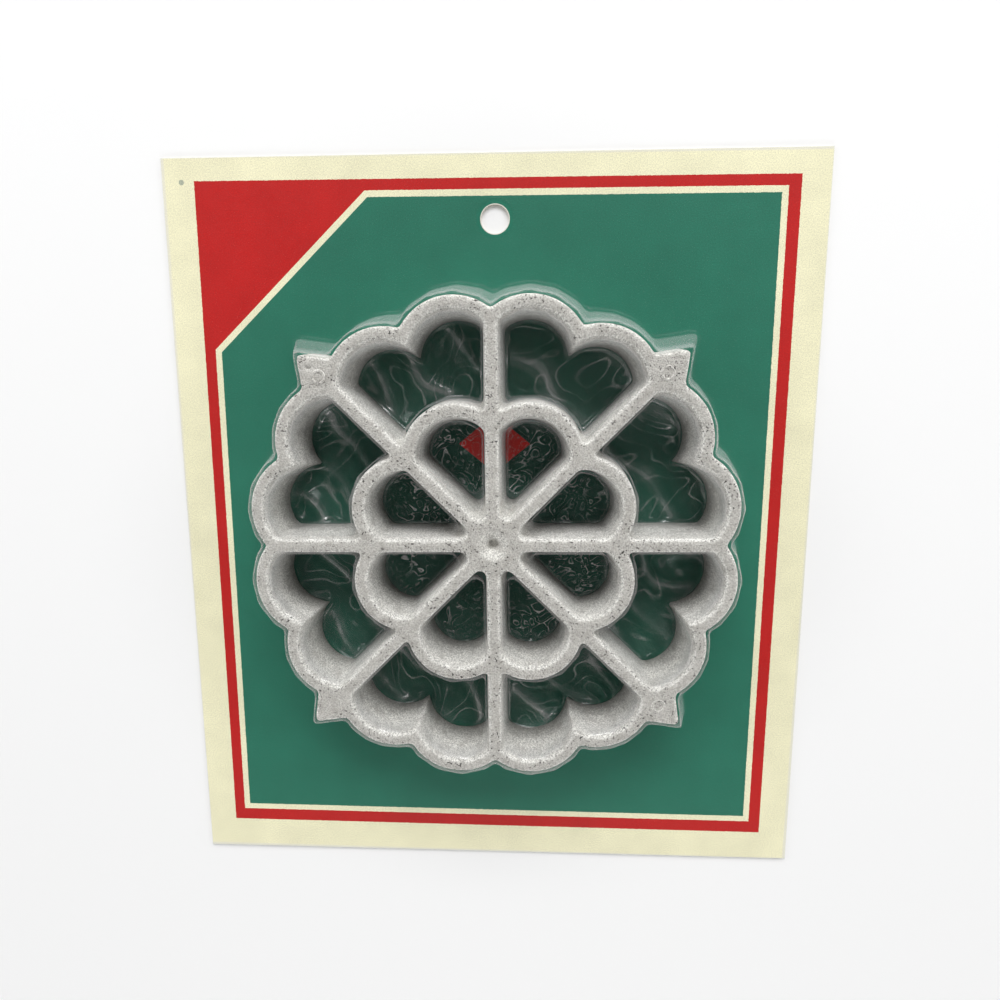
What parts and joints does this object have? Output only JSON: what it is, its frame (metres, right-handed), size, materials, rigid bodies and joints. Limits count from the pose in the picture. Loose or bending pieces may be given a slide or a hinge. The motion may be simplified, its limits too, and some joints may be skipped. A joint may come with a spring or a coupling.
{
  "type": "rosette iron",
  "caption": "Cast aluminium rosette frying iron, an open scalloped lattice of wedge and heart cells with pointed lugs, held flat on a printed hang card under clear skin film.",
  "frame": {"origin": "middle of the board's back", "axes": "the pack lies flat: +Y along the board towards its hang hole, +Z out of the board's front through the iron"},
  "size_m": [0.1524, 0.174, 0.0158],
  "materials": {
    "cast_aluminium": "as cast, finely pitted, rims rubbed bright",
    "printed_card": "coated board, printed field and borders, lightly worn",
    "clear_film": "clear glossy skin film with fine creases"
  },
  "bodies": {
    "root": {"rosette_casting": "cast_aluminium", "backing_card": "printed_card", "skin_film": "clear_film"}
  },
  "joints": []
}
